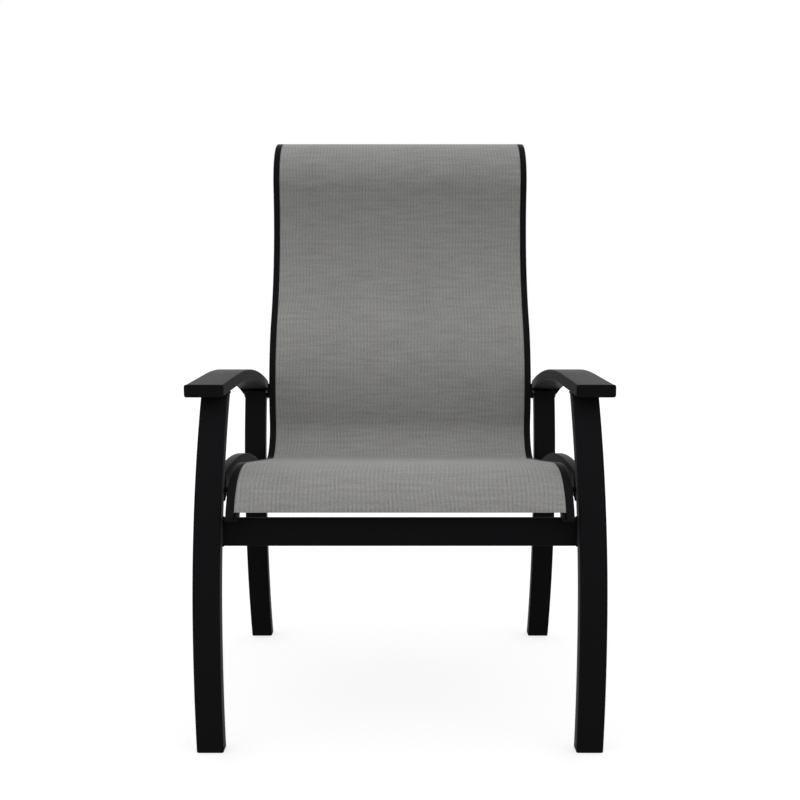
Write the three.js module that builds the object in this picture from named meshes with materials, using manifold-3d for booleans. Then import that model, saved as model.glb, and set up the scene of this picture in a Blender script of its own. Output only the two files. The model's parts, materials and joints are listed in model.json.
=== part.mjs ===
// A high-backed sling chair for a patio. It stands on the floor and faces -Y, with +Z up and +X to the
// sitter's left. Lengths are in millimetres and angles in degrees, in the side view above the +Y axis.

import * as THREE from "three";
import { mergeVertices } from "three/addons/utils/BufferGeometryUtils.js";
import Module from "manifold-3d";

const wasm = await Module();
wasm.setup();

// Clearances, and how finely a curve is cut into facets
const fitGap = 0.3;
const overrun = 60;
const lap = 1;
const chordSag = 0.4;
const mergeWithin = 1e-3;

// Legs: rectangular tube, rounder behind, bowed in one arc above the bow's foremost height and in a
// slacker one down to the foot
const frameWidth = 630;
const legWidth = 41.8;
const legDepth = 30;
const legWall = 2;
const legFrontRound = 3;
const legBackRound = 7;
const frontBowRadius = 696;
const frontFootRadius = 1136;
const frontBowHeight = 203.9;
const rearBowRadius = 713;
const rearFootRadius = 879;
const rearBowHeight = 365.9;
const rearLegRise = 15;
const legCapThickness = 2.5;
const levelStep = 40;

// Glides under the legs
const glideHeight = 8;
const glideEase = 1.5;
const glideEaseHeight = 2.4;
const glidePlug = 18;
const glidePlugGap = 0.8;

// Arms: a wide flat hollow bar that bends down behind the rear leg into a solid tail
const armWidth = 60.5;
const armThickness = 19;
const armRound = 3.5;
const armWall = 2.2;
const armFrontPitch = 3.4;
const armCrownRadius = 1293;
const armRearPitch = 12.9;
const armBendRadius = 20;
const armTailLength = 16.8;
const armTailHeight = 512.9;
const armTailTaper = 24;
const armOverhang = 38;
const armCapThickness = 2.5;
const armCapLip = 0.5;

// Side rails between the front and rear legs
const sideRailWidth = 18;
const sideRailHeight = 37;
const sideRailWall = 2;
const sideRailRound = 3;
const sideRailRadius = 832;
const sideRailFrontTop = 427.2;
const sideRailRearTop = 368.1;

// Crossbars between the left and right legs
const crossbarHeight = 43.4;
const crossbarDepth = 14;
const crossbarWall = 2;
const crossbarRound = 2.5;
const frontCrossbarTop = 364.8;
const frontCrossbarSetback = 16.4;
const rearCrossbarTop = 344.5;

// Side view of the sling, from its toe under the front edge to its rolled top
const toeRun = 30;
const toeHeading = 73;
const waterfallRadius = 95;
const waterfallHeading = 13;
const crestRadius = 200;
const seatPitch = 6.4;
const seatRun = 341.5;
const hollowRadius = 58.4;
const hollowHeading = 101;
const waistRadius = 286.6;
const waistHeading = 57.8;
const shoulderRadius = 397.6;
const shoulderHeading = 98.4;
const rollRadius = 92;
const rollHeading = 21;
const crownRadius = 140;
const crownHeading = -3;
const topRun = 14;

// Section of the sling rails: a land outside, a groove for the fabric's hem, a ledge inside, a chamber below
const railWidth = 18.4;
const railDepth = 28;
const railWall = 1.8;
const railLandRound = 3;
const railBackRound = 2;
const landWidth = 12.4;
const slotWidth = 2.2;
const grooveRadius = 3.3;
const grooveRoof = 1.6;
const railCapThickness = 3;
const capPlug = 9;
const capPlugGap = 0.4;

// Fabric, its hems and the spline rods inside them
const fabricThickness = 1;
const fabricToe = 11;
const fabricHead = 9;
const hemThickness = 0.95;
const hemGap = 0.4;
const splineInset = 1.5;

// Where the sling frame is bolted to the legs: along the sling, below its face, and behind the leg's face
const spacerLength = 8.2;
const spacerRadius = 4.3;
const boltRadius = 3;
const frontBoltHeight = 406.5;
const frontBoltSetback = 20.9;
const frontBoltRun = 92;
const frontBoltDepth = 13.5;
const rearBoltSetback = 10.3;
const rearBoltDrop = 9.1;
const rearBoltDepth = 22;
const plateFoot = 6;
const plateLength = 31;
const plateWidth = 12;
const plateThickness = 3.8;
const boltHeadRadius = 5.2;
const boltHeadHeight = 2.6;
const nutRadius = 5.8;
const nutHeight = 6;
const nutFloor = 1.6;
const nutSides = 6;

// Spreader bars that hold the two sling rails apart
const spreaderRadius = 8;
const spreaderWall = 1.8;
const spreaderStub = 34;
const seatSpreaderBow = 26;
const backSpreaderBow = 30;
const topSpreaderBow = 24;
const backSpreaderRise = 72;
const topSpreaderDrop = 74;
const spreaderDepth = 14;
const insertLength = 18;
const screwHeadRadius = 5;
const screwHeadHeight = 2.4;
const screwBite = 15;

// Counts of facets
const tightCorner = 1;
const softCorner = 2;
const roundCorner = 3;
const grooveSides = 8;
const hemSides = 5;
const splineSides = 5;
const tubeSides = 12;
const turnedSides = 10;
const spreaderSteps = 8;
const settlingRounds = [1, 2, 3, 4];

// Widths that follow from the ones above
const legOuter = frameWidth / 2;
const legInner = legOuter - legWidth;
const railOuter = legInner - spacerLength;
const railInner = railOuter - railWidth;
const slotOuter = railOuter - landWidth;
const slotInner = slotOuter - slotWidth;
const slotMiddle = (slotOuter + slotInner) / 2;
const ledgeDrop = fabricThickness + fitGap;
const grooveDepth = ledgeDrop + grooveRoof + grooveRadius;
const hemRadius = grooveRadius - hemGap;
const hemBore = hemRadius - hemThickness;
const holeRadius = boltRadius + fitGap;

const radians = THREE.MathUtils.degToRad;
const degrees = THREE.MathUtils.radToDeg;
const sine = (angle) => Math.sin(radians(angle));
const cosine = (angle) => Math.cos(radians(angle));

// How many chords keep an arc within the sag
function chordsFor(radius, turn) {
  const chord = 2 * Math.acos(1 - chordSag / radius);
  return Math.max(2, Math.ceil(Math.abs(radians(turn)) / chord));
}

// Solids

function solidOf(geometry) {
  const bare = new THREE.BufferGeometry();
  bare.setAttribute("position", geometry.getAttribute("position"));
  bare.setIndex(geometry.index);
  const merged = mergeVertices(bare, mergeWithin);
  const vertProperties = merged.attributes.position.array;
  const triVerts = new Uint32Array(merged.index.array);
  const solid = new wasm.Manifold(new wasm.Mesh({ numProp: 3, vertProperties, triVerts }));
  if (solid.volume() > 0) return solid;
  for (let i = 0; i < triVerts.length; i += 3) {
    [triVerts[i], triVerts[i + 1]] = [triVerts[i + 1], triVerts[i]];
  }
  return new wasm.Manifold(new wasm.Mesh({ numProp: 3, vertProperties, triVerts }));
}

function geometryOf(solid) {
  const mesh = solid.getMesh();
  const geometry = new THREE.BufferGeometry();
  geometry.setAttribute("position", new THREE.BufferAttribute(mesh.vertProperties, mesh.numProp));
  geometry.setIndex(new THREE.BufferAttribute(mesh.triVerts, 1));
  geometry.computeVertexNormals();
  return geometry;
}

const cut = (body, ...tools) =>
  geometryOf(tools.reduce((left, tool) => left.subtract(solidOf(tool)), solidOf(body)));
const join = (body, ...others) =>
  geometryOf(others.reduce((sum, other) => sum.add(solidOf(other)), solidOf(body)));
const overlapOf = (body, other) => geometryOf(solidOf(body).intersect(solidOf(other)));

// Sections: an outline and its hollows, as points (u, v), counter-clockwise

const point = (u, v) => new THREE.Vector2(u, v);

// Points of an arc round (u, v), from one angle to another in a number of steps
function arc(u, v, radius, from, to, steps) {
  const points = [];
  for (let i = 0; i <= steps; i++) {
    const angle = from + ((to - from) * i) / steps;
    points.push(point(u + radius * cosine(angle), v + radius * sine(angle)));
  }
  return points;
}

// A whole polygon of a circle: its last point isn't repeated
const circle = (u, v, radius, sides) => arc(u, v, radius, 0, 360, sides).slice(0, sides);

// A rectangle whose two low corners share one rounding and whose two high corners share another
function roundedBox(u0, v0, u1, v1, lowRound, highRound, lowSteps, highSteps) {
  return [
    ...arc(u0 + lowRound, v0 + lowRound, lowRound, 180, 270, lowSteps),
    ...arc(u1 - lowRound, v0 + lowRound, lowRound, 270, 360, lowSteps),
    ...arc(u1 - highRound, v1 - highRound, highRound, 0, 90, highSteps),
    ...arc(u0 + highRound, v1 - highRound, highRound, 90, 180, highSteps),
  ];
}

const plainBox = (u0, v0, u1, v1) => [point(u0, v0), point(u1, v0), point(u1, v1), point(u0, v1)];

// A body whose section is carried through places: each place turns a point (u, v) into a point in space
function skin(section, places) {
  const loops = [section.outline, ...(section.holes ?? [])];
  const size = loops.reduce((sum, loop) => sum + loop.length, 0);
  const positions = places.flatMap((place) => loops.flat().flatMap(({ x, y }) => place(x, y).toArray()));
  const index = [];
  for (let k = 0; k + 1 < places.length; k++) {
    let first = k * size;
    for (const loop of loops) {
      for (let i = 0; i < loop.length; i++) {
        const a = first + i;
        const b = first + ((i + 1) % loop.length);
        index.push(a, a + size, b + size, a, b + size, b);
      }
      first += loop.length;
    }
  }
  const last = (places.length - 1) * size;
  const [outline, ...holes] = loops;
  // The hollows' side faces run the same way as the outline's, so their points run clockwise
  for (const [a, b, c] of THREE.ShapeUtils.triangulateShape(outline, holes)) {
    index.push(a, b, c, last + a, last + c, last + b);
  }
  const geometry = new THREE.BufferGeometry();
  geometry.setAttribute("position", new THREE.Float32BufferAttribute(positions, 3));
  geometry.setIndex(index);
  return geometry;
}

const hollow = (loop) => [...loop].reverse();

// Runs seen from the side: stations with a place, a heading and the distance run so far

const along = (heading) => new THREE.Vector3(0, cosine(heading), sine(heading));
const leftOf = (heading) => new THREE.Vector3(0, -sine(heading), cosine(heading));

function trace(start, heading, moves) {
  const stations = [{ place: start, up: leftOf(heading), heading, run: 0 }];
  for (const { run, radius, to } of moves) {
    const from = stations.at(-1);
    if (run !== undefined) {
      const place = from.place.clone().addScaledVector(along(from.heading), run);
      stations.push({ ...from, place, run: from.run + run });
      continue;
    }
    const turn = to - from.heading;
    const side = Math.sign(turn) * radius;
    const centre = from.place.clone().addScaledVector(leftOf(from.heading), side);
    const steps = chordsFor(radius, turn);
    for (let i = 1; i <= steps; i++) {
      const now = from.heading + (turn * i) / steps;
      const place = centre.clone().addScaledVector(leftOf(now), -side);
      const arcRun = (radians(Math.abs(turn)) * radius * i) / steps;
      stations.push({ place, up: leftOf(now), heading: now, run: from.run + arcRun });
    }
  }
  return stations;
}

// The station at a distance along a run, on the same chord as its neighbours
function stationAt(stations, run) {
  const next = Math.max(1, stations.findIndex((station) => station.run >= run));
  const [a, b] = [stations[next - 1], stations[next]];
  const share = (run - a.run) / (b.run - a.run);
  return {
    place: a.place.clone().lerp(b.place, share),
    up: a.up.clone().lerp(b.up, share),
    heading: a.heading + (b.heading - a.heading) * share,
    run,
  };
}

function stretch(stations, from, to) {
  const inside = stations.filter(({ run }) => run > from + lap && run < to - lap);
  return [stationAt(stations, from), ...inside, stationAt(stations, to)];
}

// The station moved straight on by a distance
function beyond(station, distance) {
  const place = station.place.clone().addScaledVector(along(station.heading), distance);
  return { ...station, place };
}

const placeOn = ({ place, up }) => (u, v) =>
  new THREE.Vector3(u, 0, 0).add(place).addScaledVector(up, v);

const sweep = (section, stations) => skin(section, stations.map(placeOn));

// The point below the face of a run, at a depth
function pointBelow(station, depth) {
  return station.place.clone().addScaledVector(leftOf(station.heading), -depth);
}

// Legs

const frontBow = {
  radius: frontBowRadius, footRadius: frontFootRadius, height: frontBowHeight, foremost: 0 };

// Where the surface that lies an inset behind a bow's front face stands at a height
function faceY(bow, height, inset = 0) {
  const rise = height - bow.height;
  const radius = rise > 0 ? bow.radius : bow.footRadius;
  return bow.foremost + radius - Math.sqrt((radius - inset) ** 2 - rise ** 2);
}

// Every bowed body bends at the same levels, so that the faces of neighbours lie alike
function levelOn(bow, height) {
  const below = Math.floor(height / levelStep) * levelStep;
  const share = (height - below) / levelStep;
  return (u, v) => {
    const y = THREE.MathUtils.lerp(faceY(bow, below, -v), faceY(bow, below + levelStep, -v), share);
    return new THREE.Vector3(u, y, height);
  };
}

// A body between two heights whose level sections follow a bow; v is 0 at the front face
function bowed(section, bow, low, high) {
  const heights = [low];
  for (let level = Math.ceil(low / levelStep) * levelStep; level < high - lap; level += levelStep) {
    if (level > low + lap) heights.push(level);
  }
  return skin(section, [...heights, high].map((height) => levelOn(bow, height)));
}

const legOutline = roundedBox(
  legInner, -legDepth, legOuter, 0, legBackRound, legFrontRound, roundCorner, softCorner);

// The inside of a leg, drawn in by a gap for what fits into it
function legBore(gap) {
  const inset = legWall + gap;
  const [backRound, frontRound] = [legBackRound - legWall, gap + lap];
  return roundedBox(
    legInner + inset, inset - legDepth, legOuter - inset, -inset,
    backRound, frontRound, tightCorner, tightCorner);
}

function leg(bow, top) {
  const section = { outline: legOutline, holes: [hollow(legBore(0))] };
  return bowed(section, bow, glideHeight + fitGap, top);
}

// The rear leg stops level, short of the arm's underside, under a thin cap with a shallow plug
function rearLegCap() {
  const base = rearLegTop - legCapThickness;
  const plate = bowed({ outline: legOutline }, rearBow, base, rearLegTop);
  const plug = bowed({ outline: legBore(fitGap) }, rearBow, base - legCapThickness, base + lap);
  return join(plate, plug);
}

// A glide: an eased pad under the leg and a plug that fits inside it
function glide(bow) {
  const middle = point((legInner + legOuter) / 2, -legDepth / 2);
  const eased = (height) => {
    const rest = Math.max(0, 1 - height / glideEaseHeight);
    const inset = glideEase * (1 - Math.sqrt(1 - rest ** 2));
    const [shareU, shareV] = [1 - (2 * inset) / legWidth, 1 - (2 * inset) / legDepth];
    return (u, v) =>
      levelOn(bow, height)(middle.x + (u - middle.x) * shareU, middle.y + (v - middle.y) * shareV);
  };
  const heights = [0, glideEaseHeight / 3, glideEaseHeight, glideHeight];
  const pad = skin({ outline: legOutline }, heights.map(eased));
  const plug = bowed({ outline: legBore(glidePlugGap) }, bow, glideHeight - lap, glideHeight + glidePlug);
  return join(pad, plug);
}

// Sling path: traced once from nowhere, then moved so that its front bolt meets the front leg's

function slingRun(start) {
  return trace(start, toeHeading, [
    { run: toeRun },
    { radius: waterfallRadius, to: waterfallHeading },
    { radius: crestRadius, to: -seatPitch },
    { run: seatRun },
    { radius: hollowRadius, to: hollowHeading },
    { radius: waistRadius, to: waistHeading },
    { radius: shoulderRadius, to: shoulderHeading },
    { radius: rollRadius, to: rollHeading },
    { radius: crownRadius, to: crownHeading },
    { run: topRun },
  ]);
}

const boltPoint = (stations, run, depth) => pointBelow(stationAt(stations, run), depth);

// The distance along a run at which its points at a depth below the face first reach a height
function runAtHeight(stations, height, depth) {
  const above = (station) => pointBelow(station, depth).z - height;
  const next = stations.findIndex((station) => above(station) >= 0);
  const [a, b] = [stations[next - 1], stations[next]];
  return a.run - ((b.run - a.run) * above(a)) / (above(b) - above(a));
}

const frontBolt = new THREE.Vector3(0, faceY(frontBow, frontBoltHeight) + frontBoltSetback, frontBoltHeight);
const looseBolt = boltPoint(slingRun(new THREE.Vector3()), frontBoltRun, frontBoltDepth);
const sling = slingRun(frontBolt.clone().sub(looseBolt));
const slingEnd = sling.at(-1).run;
const rearLegTop = armTailHeight + rearLegRise;
const rearBoltRun = runAtHeight(sling, rearLegTop - rearBoltDrop, rearBoltDepth);
const rearBolt = boltPoint(sling, rearBoltRun, rearBoltDepth);

// The rear leg stands where its front face lies just ahead of the rear bolt
const rearBow = { radius: rearBowRadius, footRadius: rearFootRadius, height: rearBowHeight, foremost: 0 };
rearBow.foremost = rearBolt.y - rearBoltSetback - faceY(rearBow, rearBolt.z);

// Arms, traced on their outer face from the foot of the tail, up, over and forward

// The tail runs parallel to the back face of the rear leg
const tailRise = armTailHeight + armTailLength / 2 - rearBow.height;
const armTailHeading = 90 - degrees(Math.asin(tailRise / (rearBow.radius - legDepth)));

function armRun() {
  const foot = new THREE.Vector3(0, faceY(rearBow, armTailHeight, legDepth), armTailHeight);
  const start = foot.addScaledVector(leftOf(armTailHeading), -(armThickness + fitGap));
  const stations = trace(start, armTailHeading, [
    { run: armTailLength },
    { radius: armBendRadius, to: 180 - armRearPitch },
    { radius: armCrownRadius, to: 180 + armFrontPitch },
  ]);
  const last = stations.at(-1);
  let run = 0;
  // The front end lies ahead of the leg's face at the level of the arm's own underside
  for (const _ of settlingRounds) {
    const underside = beyond(last, run).place.z - armThickness;
    run = (last.place.y - faceY(frontBow, underside) + armOverhang) / cosine(armFrontPitch);
  }
  return [...stations, { ...beyond(last, run), run: last.run + run }];
}

const armStations = armRun();
const armBendRun = radians(180 - armRearPitch - armTailHeading) * armBendRadius;
const armBendEnd = armTailLength + armBendRun;
const armOuter = legInner + armWidth;
const armLength = armStations.at(-1).run;
// The front leg is drawn up into the arm, whose room then cuts it off below
const frontLegReach = armStations.at(-1).place.z - armWall;

const armSection = (inset) =>
  roundedBox(
    legInner + inset, inset, armOuter - inset, armThickness - inset,
    armRound - inset / 2, armRound - inset / 2, roundCorner, roundCorner);

// The tail is narrowed from the arm's width to the leg's by a slanting cut
function tailTaper() {
  const low = armStations[0].place.z;
  const outline = [
    point(legOuter, low - overrun),
    point(armOuter + overrun, low - overrun),
    point(armOuter + overrun, low + armTailTaper),
    point(armOuter, low + armTailTaper),
    point(legOuter, low),
  ];
  const near = faceY(rearBow, armTailHeight);
  const level = (y) => (u, v) => new THREE.Vector3(u, y, v);
  return skin({ outline }, [level(near), level(near + overrun + overrun)]);
}

function arm() {
  const end = armLength - armCapThickness - fitGap;
  const body = sweep({ outline: armSection(0) }, stretch(armStations, 0, end));
  const core = stretch(armStations, armBendEnd + armThickness, end);
  core.push(beyond(core.at(-1), overrun));
  return cut(body, sweep({ outline: armSection(armWall) }, core), tailTaper());
}

function armCap() {
  const end = armStations.at(-1);
  const plate = sweep({ outline: armSection(-armCapLip) }, [beyond(end, -armCapThickness), end]);
  const tip = beyond(end, -armCapThickness - capPlug);
  const plug = sweep({ outline: armSection(armWall + fitGap) }, [tip, beyond(end, -armCapThickness + lap)]);
  return join(plate, plug);
}

// The room that the arm takes up, out from its lower face, which the legs and side rails stay out of
function armRoom() {
  const outline = plainBox(legInner - overrun, -overrun, armOuter + overrun, armThickness + fitGap);
  return sweep({ outline }, armStations);
}

// Side rails

// An arc of a radius over two points of the side view, run on past both by an overrun
function arcOver(from, to, radius) {
  const chord = to.clone().sub(from);
  const pitch = degrees(Math.atan2(chord.z, chord.y));
  const half = degrees(Math.asin(chord.length() / (2 * radius)));
  const extra = degrees(overrun / (2 * radius));
  const centre = from.clone().addScaledVector(leftOf(pitch + half), -radius);
  const heading = pitch + half + extra;
  const start = centre.addScaledVector(leftOf(heading), radius);
  return trace(start, heading, [{ radius, to: pitch - half - extra }]);
}

function sideRail() {
  const [inner, outer] = [legInner, legInner + sideRailWidth];
  const box = (inset) =>
    roundedBox(
      inner + inset, inset - sideRailHeight, outer - inset, -inset,
      sideRailRound - inset / 2, sideRailRound - inset / 2, softCorner, softCorner);
  const from = new THREE.Vector3(0, faceY(frontBow, sideRailFrontTop, legDepth), sideRailFrontTop);
  const to = new THREE.Vector3(0, faceY(rearBow, sideRailRearTop), sideRailRearTop);
  const tube = { outline: box(0), holes: [hollow(box(sideRailWall))] };
  const body = sweep(tube, arcOver(from, to, sideRailRadius));
  const low = sideRailRearTop - sideRailHeight - overrun;
  const high = sideRailFrontTop + overrun;
  const wide = [inner - overrun, outer + overrun];
  const ahead = plainBox(wide[0], -legDepth - fitGap, wide[1], overrun);
  const behind = plainBox(wide[0], -overrun - overrun, wide[1], fitGap);
  return cut(
    body,
    bowed({ outline: ahead }, frontBow, low, high),
    bowed({ outline: behind }, rearBow, low, high));
}

// Crossbars

function crossbar(front, top) {
  const box = (inset) =>
    roundedBox(
      front + inset, top - crossbarHeight + inset, front + crossbarDepth - inset, top - inset,
      crossbarRound - inset / 2, crossbarRound - inset / 2, softCorner, softCorner);
  const end = legInner - fitGap;
  const across = [-end, end].map((x) => (u, v) => new THREE.Vector3(x, u, v));
  return skin({ outline: box(0), holes: [hollow(box(crossbarWall))] }, across);
}

const frontCrossbarFace = faceY(frontBow, frontCrossbarTop) + frontCrossbarSetback;
const rearCrossbarFace = faceY(rearBow, rearCrossbarTop) + (legDepth - crossbarDepth) / 2;

// Sling rails

// The outside of a rail, closed over its groove
const railBlock = () => [
  ...arc(railInner + railBackRound, railBackRound - railDepth, railBackRound, 180, 270, tightCorner),
  ...arc(railOuter - railBackRound, railBackRound - railDepth, railBackRound, 270, 360, tightCorner),
  ...arc(railOuter - railLandRound, -railLandRound, railLandRound, 0, 90, roundCorner),
];

// The groove, from the land down the slot, round the bore of the hem and up to the ledge
function railOutline() {
  const opening = degrees(Math.asin(slotWidth / (2 * grooveRadius)));
  return [
    ...railBlock(),
    point(slotOuter, 0),
    ...arc(slotMiddle, -grooveDepth, grooveRadius, 90 - opening, opening - 270, grooveSides),
    point(slotInner, -ledgeDrop),
    point(railInner, -ledgeDrop),
  ];
}

// The chamber that goes under the groove and up beside it
function railChamber(gap) {
  const side = railWall + gap;
  const [inner, outer, floor] = [railInner + side, railOuter - side, side - railDepth];
  const shelf = -grooveDepth - grooveRadius - side;
  const wall = slotMiddle + grooveRadius + side;
  return [
    point(inner, floor), point(outer, floor), point(outer, -side),
    point(wall, -side), point(wall, shelf), point(inner, shelf),
  ];
}

const capOutline = () => [...railBlock(), point(slotOuter, 0), point(railInner, -ledgeDrop)];

const railFoot = frontCrossbarTop + fitGap;
const railHead = slingEnd - railCapThickness - fitGap;

// A block of space between two heights
function slab(low, high) {
  const outline = plainBox(-frameWidth, -frameWidth, frameWidth, frameWidth);
  return skin({ outline }, [low, high].map((z) => (u, v) => new THREE.Vector3(u, v, z)));
}

// A cutter along X through a point of the side view
function drill(at, radius, from, to) {
  const outline = circle(at.y, at.z, radius, turnedSides);
  return skin({ outline }, [from, to].map((x) => (u, v) => new THREE.Vector3(x, u, v)));
}

const backSpreaderRun = rearBoltRun + backSpreaderRise;
const topSpreaderRun = slingEnd - topSpreaderDrop;
const backSpreaderAt = boltPoint(sling, backSpreaderRun, spreaderDepth);
const topSpreaderAt = boltPoint(sling, topSpreaderRun, spreaderDepth);

function slingRail() {
  const section = { outline: railOutline(), holes: [hollow(railChamber(0))] };
  const body = sweep(section, stretch(sling, 0, railHead));
  const foot = slab(-overrun, railFoot + railCapThickness + fitGap);
  const through = [railInner - overrun / 2, railOuter + overrun / 2];
  const holes = [frontBolt, rearBolt].map((at) => drill(at, holeRadius, ...through));
  const sinks = [backSpreaderAt, topSpreaderAt].map((at) => screwRoom(at));
  return cut(body, foot, ...holes, ...sinks);
}

function railFootCap() {
  const lower = stretch(sling, 0, toeRun + capPlug + capPlug);
  const top = railFoot + railCapThickness;
  const plate = overlapOf(sweep({ outline: capOutline() }, lower), slab(railFoot, top));
  const plug = overlapOf(sweep({ outline: railChamber(capPlugGap) }, lower), slab(top - lap, top + capPlug));
  return join(plate, plug);
}

function railHeadCap() {
  const end = stationAt(sling, railHead);
  const base = beyond(end, fitGap);
  const plate = sweep({ outline: capOutline() }, [base, beyond(base, railCapThickness)]);
  const plug = sweep({ outline: railChamber(capPlugGap) }, [beyond(end, -capPlug), beyond(base, lap)]);
  return join(plate, plug);
}

// Fabric and spline rods

// One edge of the fabric: under its panel, round the hem and up to its face
function fabricEdge() {
  const opening = degrees(Math.asin(fabricThickness / (2 * hemRadius)));
  const half = fabricThickness / 2;
  return [
    point(slotMiddle - half, -fabricThickness),
    ...arc(slotMiddle, -grooveDepth, hemRadius, 90 + opening, 450 - opening, hemSides),
    point(slotMiddle + half, 0),
  ];
}

const mirrored = (loop) => [...loop].reverse().map(({ x, y }) => point(-x, y));

function slingFabric() {
  const edge = fabricEdge();
  const bore = circle(slotMiddle, -grooveDepth, hemBore, splineSides);
  const section = { outline: [...edge, ...mirrored(edge)], holes: [hollow(bore), hollow(mirrored(bore))] };
  return sweep(section, stretch(sling, toeRun + fabricToe, slingEnd - fabricHead));
}

function splineRod() {
  const radius = hemBore - fitGap / cosine(180 / splineSides);
  const outline = circle(slotMiddle, -grooveDepth, radius, splineSides);
  const ends = [toeRun + fabricToe - splineInset, slingEnd - fabricHead + splineInset - lap];
  return sweep({ outline }, stretch(sling, ...ends));
}

// Spreader bars

// Straight stubs at both ends and a smooth bow between them, 0 at the stubs and 1 in the middle
function bowShare(x, reach) {
  const free = reach - spreaderStub;
  return Math.abs(x) >= free ? 0 : (1 + cosine((180 * x) / free)) / 2;
}

const spreaderReach = railInner - fitGap;

// A tube from rail to rail round a point of the side view, bowed by a distance along a direction
function spreader(at, bow, direction) {
  const free = spreaderReach - spreaderStub;
  const inside = Array.from({ length: spreaderSteps + 1 }, (_, i) => free * ((2 * i) / spreaderSteps - 1));
  const places = [-spreaderReach, ...inside, spreaderReach].map((x) => (u, v) =>
    new THREE.Vector3(x, at.y + u, at.z + v).addScaledVector(direction, bow * bowShare(x, spreaderReach)));
  const section = {
    outline: circle(0, 0, spreaderRadius, tubeSides),
    holes: [hollow(circle(0, 0, spreaderRadius - spreaderWall, tubeSides))],
  };
  return skin(section, places);
}

// A threaded plug in the end of a spreader bar
function insert(at) {
  const section = {
    outline: circle(at.y, at.z, spreaderRadius - spreaderWall - fitGap, tubeSides),
    holes: [hollow(circle(at.y, at.z, holeRadius, turnedSides))],
  };
  const ends = [spreaderReach - insertLength, spreaderReach];
  return skin(section, ends.map((x) => (u, v) => new THREE.Vector3(x, u, v)));
}

// Fasteners, turned round an axis along X with their heads outward

// A profile of points (radius, distance out from the seat) turned round X
function turned(profile, x, at) {
  const geometry = new THREE.LatheGeometry(profile, turnedSides);
  geometry.rotateZ(-Math.PI / 2);
  geometry.translate(x, at.y, at.z);
  return geometryOf(solidOf(geometry));
}

const legSeat = legOuter + fitGap;

function bolt(at, tip) {
  const profile = [
    point(0, tip - legSeat),
    point(boltRadius, tip - legSeat),
    point(boltRadius, 0),
    point(boltHeadRadius, 0),
    point(boltHeadRadius, boltHeadHeight / 3),
    point(boltHeadRadius / 2, boltHeadHeight),
    point(0, boltHeadHeight),
  ];
  return turned(profile, legSeat, at);
}

// A flat-headed screw, flush with the rail's outer face; a grown one makes its hole
function screwProfile(grow, length, out) {
  return [
    point(0, -length),
    point(boltRadius + grow, -length),
    point(boltRadius + grow, -screwHeadHeight),
    point(screwHeadRadius + grow, 0),
    point(screwHeadRadius + grow, out),
    point(0, out),
  ];
}

const screwRoom = (at) => turned(screwProfile(fitGap, railWidth + lap, lap), railOuter, at);

function screw(at) {
  const profile = screwProfile(0, railWidth + screwBite, 0).filter((_, i) => i !== 4);
  return turned(profile, railOuter, at);
}

function spacer(at) {
  const ring = new THREE.Shape(circle(0, 0, spacerRadius, turnedSides));
  ring.holes.push(new THREE.Path(circle(0, 0, holeRadius, turnedSides)));
  const depth = spacerLength - 2 * fitGap;
  const geometry = new THREE.ExtrudeGeometry(ring, { depth, bevelEnabled: false });
  geometry.rotateY(Math.PI / 2);
  geometry.translate(railOuter + fitGap, at.y, at.z);
  return geometry;
}

// The rear spacer has a plate that follows the rail's side and reaches up beside the arm
function platedSpacer() {
  const seat = railOuter + fitGap;
  const low = railBackRound - railDepth;
  const outline = plainBox(seat, low, seat + plateThickness, low + plateWidth);
  const foot = rearBoltRun - plateFoot;
  const plate = sweep({ outline }, stretch(sling, foot, foot + plateLength));
  const body = join(plate, spacer(rearBolt));
  return cut(body, drill(rearBolt, holeRadius, railOuter, legInner));
}

// A cap nut on the rail's inner face, closed at its inner end
function capNut(at) {
  const seat = railInner - fitGap;
  const body = new THREE.CylinderGeometry(nutRadius, nutRadius, nutHeight, nutSides);
  body.rotateZ(Math.PI / 2);
  body.translate(seat - nutHeight / 2, at.y, at.z);
  return cut(body, drill(at, holeRadius, seat - nutHeight + nutFloor, seat + lap));
}

// Materials

const finish = (color, roughness, metalness) => () =>
  new THREE.MeshStandardMaterial({ color, roughness, metalness });
const powderCoat = finish(0x17171a, 0.45, 0.1);
const wovenGrey = finish(0x8b8a86, 0.9, 0);
const blackNylon = finish(0x101012, 0.6, 0);
const darkSteel = finish(0x2a2a2d, 0.35, 0.8);

// Assembly

const chair = new THREE.Group();
chair.name = "sling_patio_chair";

function add(name, geometry, material) {
  const mesh = new THREE.Mesh(geometryOf(solidOf(geometry)), material());
  mesh.name = name;
  chair.add(mesh);
}

// A piece for the sitter's left, and its mirror image for the right
function addPair(name, geometry, material) {
  add(`${name}_left`, geometry, material);
  const other = geometry.clone().applyMatrix4(new THREE.Matrix4().makeScale(-1, 1, 1));
  add(`${name}_right`, other, material);
}

const room = armRoom();
const legHole = (at) => drill(at, holeRadius, legInner - overrun / 2, legOuter + overrun / 2);

const rearLegEnd = rearLegTop - legCapThickness - fitGap;
addPair("front_leg", cut(leg(frontBow, frontLegReach), room, legHole(frontBolt)), powderCoat);
addPair("rear_leg", cut(leg(rearBow, rearLegEnd), legHole(rearBolt)), powderCoat);
addPair("rear_leg_cap", cut(rearLegCap(), room), blackNylon);
addPair("front_glide", glide(frontBow), blackNylon);
addPair("rear_glide", glide(rearBow), blackNylon);
addPair("arm", arm(), powderCoat);
addPair("arm_cap", armCap(), blackNylon);
addPair("side_rail", sideRail(), powderCoat);
add("front_crossbar", crossbar(frontCrossbarFace, frontCrossbarTop), powderCoat);
add("rear_crossbar", crossbar(rearCrossbarFace, rearCrossbarTop), powderCoat);

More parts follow.
